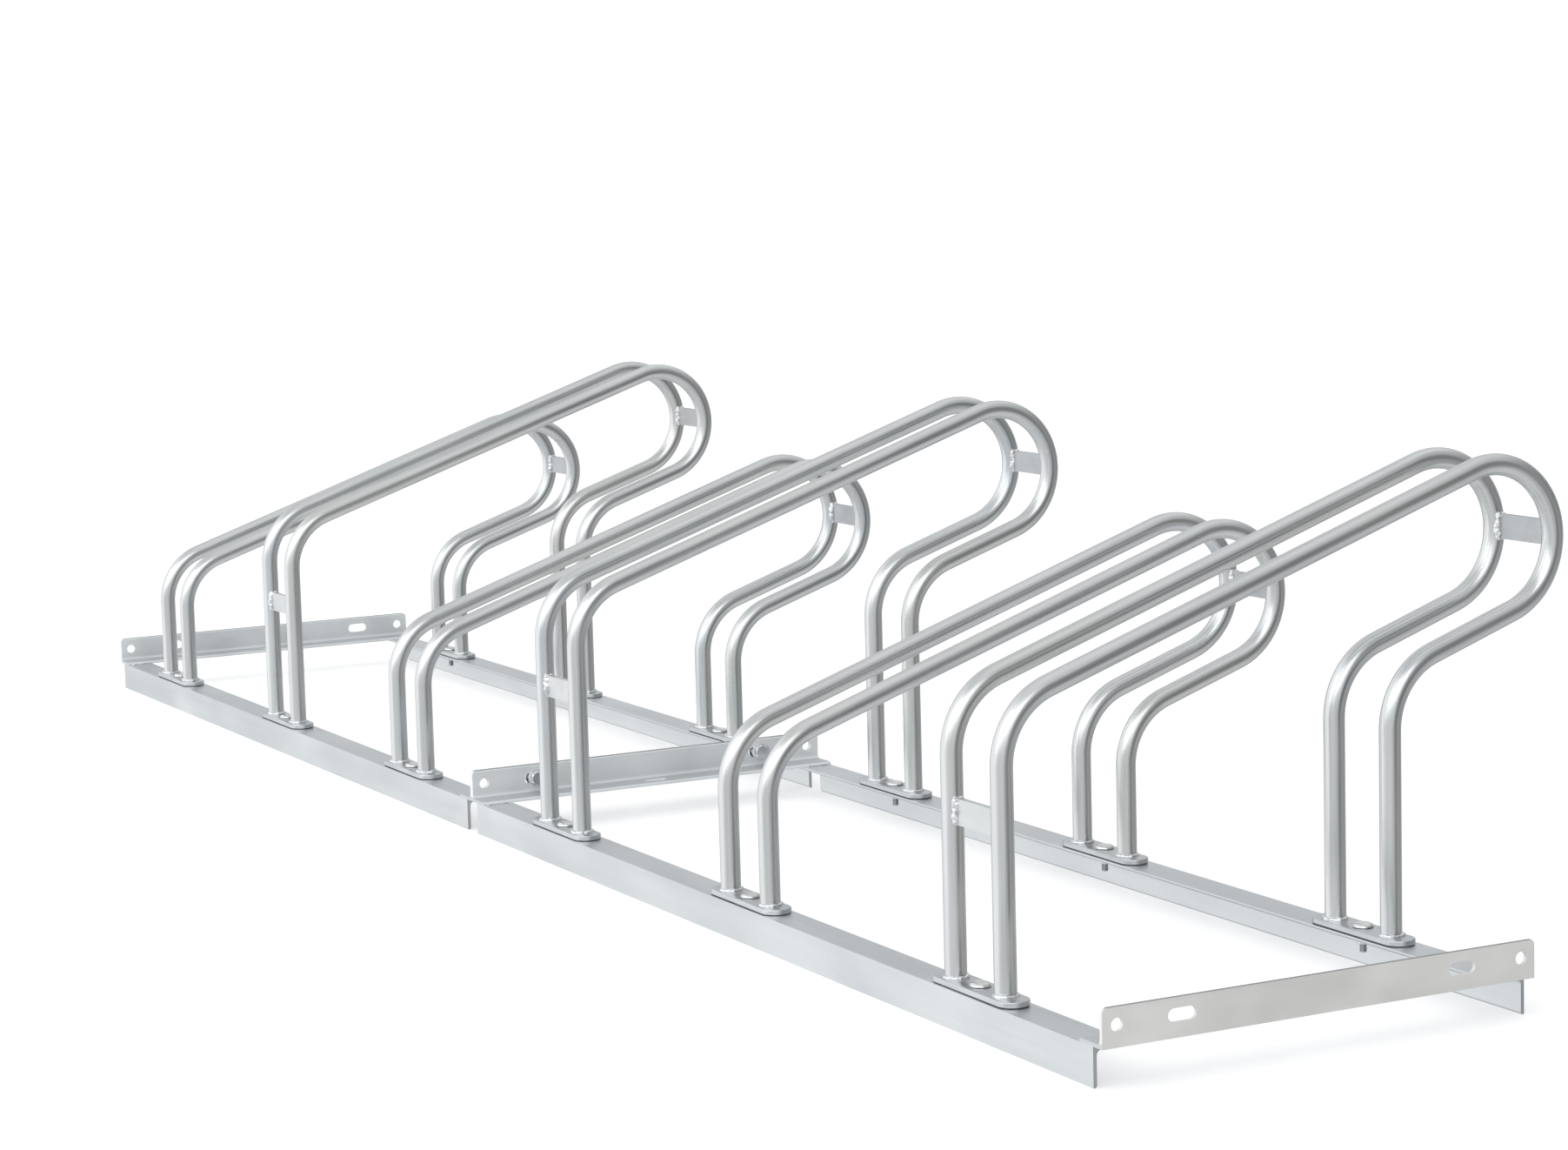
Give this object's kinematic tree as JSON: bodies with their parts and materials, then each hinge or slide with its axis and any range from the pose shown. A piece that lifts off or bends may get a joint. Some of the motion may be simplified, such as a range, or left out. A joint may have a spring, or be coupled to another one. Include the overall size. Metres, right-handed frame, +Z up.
{
  "type": "floor bicycle rack",
  "caption": "Low floor rack of bolted angle-steel modules with bent-tube hoops at two heights that each hold a bicycle's front wheel.",
  "frame": {"origin": "on the floor below the centre of the whole rack's box", "axes": "+X along the rack to its near end in the picture, +Y from the bicycles' side to the rear, +Z up"},
  "size_m": [2.26, 0.533, 0.405],
  "materials": {
    "galvanised_angle": "satin hot-rolled angle with a bright zinc coat and faint streaks along its length",
    "galvanised_tube": "satin zinc-coated tube with soft long highlights",
    "galvanised_flat": "satin zinc-coated flat bar with punched edges",
    "zinc_fastener": "bright zinc plate"
  },
  "bodies": {
    "root": {"foot_bolts": "zinc_fastener", "foot_nuts": "zinc_fastener", "front_rail_a": "galvanised_angle", "front_rail_b": "galvanised_angle", "hoop_1_front_foot": "galvanised_flat", "hoop_1_left_tube": "galvanised_tube", "hoop_1_rear_foot": "galvanised_flat", "hoop_1_rear_spacer": "galvanised_flat", "hoop_1_right_tube": "galvanised_tube", "hoop_2_front_foot": "galvanised_flat", "hoop_2_front_spacer": "galvanised_flat", "hoop_2_left_tube": "galvanised_tube", "hoop_2_rear_foot": "galvanised_flat", "hoop_2_rear_spacer": "galvanised_flat", "hoop_2_right_tube": "galvanised_tube", "hoop_3_front_foot": "galvanised_flat", "hoop_3_left_tube": "galvanised_tube", "hoop_3_rear_foot": "galvanised_flat", "hoop_3_rear_spacer": "galvanised_flat", "hoop_3_right_tube": "galvanised_tube", "hoop_4_front_foot": "galvanised_flat", "hoop_4_front_spacer": "galvanised_flat", "hoop_4_left_tube": "galvanised_tube", "hoop_4_rear_foot": "galvanised_flat", "hoop_4_rear_spacer": "galvanised_flat", "hoop_4_right_tube": "galvanised_tube", "hoop_5_front_foot": "galvanised_flat", "hoop_5_left_tube": "galvanised_tube", "hoop_5_rear_foot": "galvanised_flat", "hoop_5_rear_spacer": "galvanised_flat", "hoop_5_right_tube": "galvanised_tube", "hoop_6_front_foot": "galvanised_flat", "hoop_6_front_spacer": "galvanised_flat", "hoop_6_left_tube": "galvanised_tube", "hoop_6_rear_foot": "galvanised_flat", "hoop_6_rear_spacer": "galvanised_flat", "hoop_6_right_tube": "galvanised_tube", "joint_bolts": "zinc_fastener", "joint_nuts": "zinc_fastener", "joint_washers": "zinc_fastener", "left_end_bar_a": "galvanised_angle", "left_end_bar_b": "galvanised_angle", "rear_rail_a": "galvanised_angle", "rear_rail_b": "galvanised_angle", "right_end_bar_a": "galvanised_angle", "right_end_bar_b": "galvanised_angle"}
  },
  "joints": []
}
